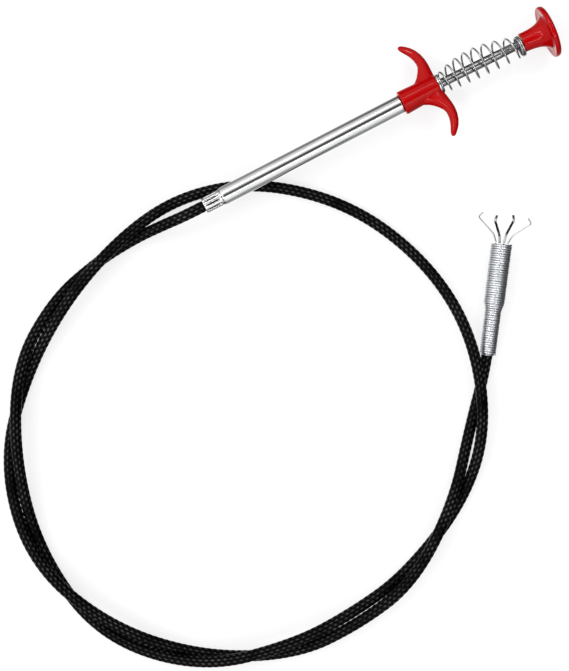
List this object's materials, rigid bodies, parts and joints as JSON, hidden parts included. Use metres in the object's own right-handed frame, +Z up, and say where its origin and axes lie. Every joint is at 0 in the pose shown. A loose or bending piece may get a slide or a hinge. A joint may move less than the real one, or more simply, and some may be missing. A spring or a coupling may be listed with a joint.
{
  "type": "drain auger",
  "caption": "Flexible claw-type drain auger: spring-return push-knob handle, long sheathed cable and coil-spring head with hooked claws.",
  "frame": {"origin": "on the axis of the steel handle tube, where the tube enters the finger grip", "axes": "+X along the handle towards the push knob, +Z up, the auger lying on a level surface 13.3 mm below the origin, the cable's loops on the -Y side"},
  "size_m": [0.3634, 0.2559, 0.0266],
  "materials": {
    "red_plastic": "glossy moulded plastic",
    "chrome_tube": "polished, bright plated steel tube",
    "rod_steel": "drawn grey steel",
    "spring_steel": "bright zinc-plated spring wire",
    "washer_steel": "zinc-plated washer",
    "bush_brass": "turned brass",
    "black_sheath": "black ribbed sheath over a steel spiral",
    "liner_steel": "oiled steel spiral",
    "wire_steel": "steel pull wire",
    "head_zinc": "bright zinc-plated close-wound wire",
    "claw_steel": "bright flattened spring wire"
  },
  "bodies": {
    "handle": {"finger_grip": "red_plastic", "handle_tube": "chrome_tube", "guide_bush": "bush_brass", "grip_washer": "washer_steel", "sheath_end_cap": "bush_brass", "return_spring": "spring_steel", "sheath_jacket": "black_sheath", "sheath_liner": "liner_steel", "inner_wire": "wire_steel", "head_spring": "head_zinc", "head_ferrule": "liner_steel"},
    "plunger": {"push_knob": "red_plastic", "knob_insert": "bush_brass", "plunger_rod": "rod_steel", "stop_collar": "rod_steel", "coupling_sleeve": "rod_steel", "handle_wire": "wire_steel"},
    "claw_carrier": {"claw_collet": "rod_steel", "claw_shanks": "claw_steel", "head_wire": "wire_steel"},
    "claw_1": {"claw_1": "claw_steel"},
    "claw_2": {"claw_2": "claw_steel"},
    "claw_3": {"claw_3": "claw_steel"},
    "claw_4": {"claw_4": "claw_steel"}
  },
  "joints": [
    {"name": "plunger_slide", "type": "slide", "parent": "handle", "child": "plunger", "axis": [-1, 0, 0], "range_m": [-0.01, 0.004], "stiffness_N_per_m": 150, "springref_m": -0.02, "deforming": ["return_spring"]},
    {"name": "carrier_slide", "type": "slide", "parent": "handle", "child": "claw_carrier", "axis": [0.5528, 0.8232, 0.1292], "range_m": [-0.01, 0.004]},
    {"name": "claw_1_spread", "type": "hinge", "parent": "claw_carrier", "child": "claw_1", "pos_m": [0.01068, -0.08454, -0.00278], "axis": [-0.4324, 0.1509, 0.889], "range_deg": [-41.1, 16.5]},
    {"name": "claw_2_spread", "type": "hinge", "parent": "claw_carrier", "child": "claw_2", "pos_m": [0.01161, -0.08585, 0.0016], "axis": [0.7123, -0.5473, 0.4394], "range_deg": [-41.1, 16.5]},
    {"name": "claw_3_spread", "type": "hinge", "parent": "claw_carrier", "child": "claw_3", "pos_m": [0.01538, -0.08815, 0.00012], "axis": [0.4324, -0.1509, -0.889], "range_deg": [-41.1, 16.5]},
    {"name": "claw_4_spread", "type": "hinge", "parent": "claw_carrier", "child": "claw_4", "pos_m": [0.01446, -0.08684, -0.00427], "axis": [-0.7123, 0.5473, -0.4394], "range_deg": [-41.1, 16.5]}
  ],
  "couplings": [
    {"joint": "carrier_slide", "follows": "plunger_slide", "ratio": 1},
    {"joint": "claw_1_spread", "follows": "plunger_slide", "rad_per_m": 71.558},
    {"joint": "claw_2_spread", "follows": "plunger_slide", "rad_per_m": 71.558},
    {"joint": "claw_3_spread", "follows": "plunger_slide", "rad_per_m": 71.558},
    {"joint": "claw_4_spread", "follows": "plunger_slide", "rad_per_m": 71.558}
  ]
}
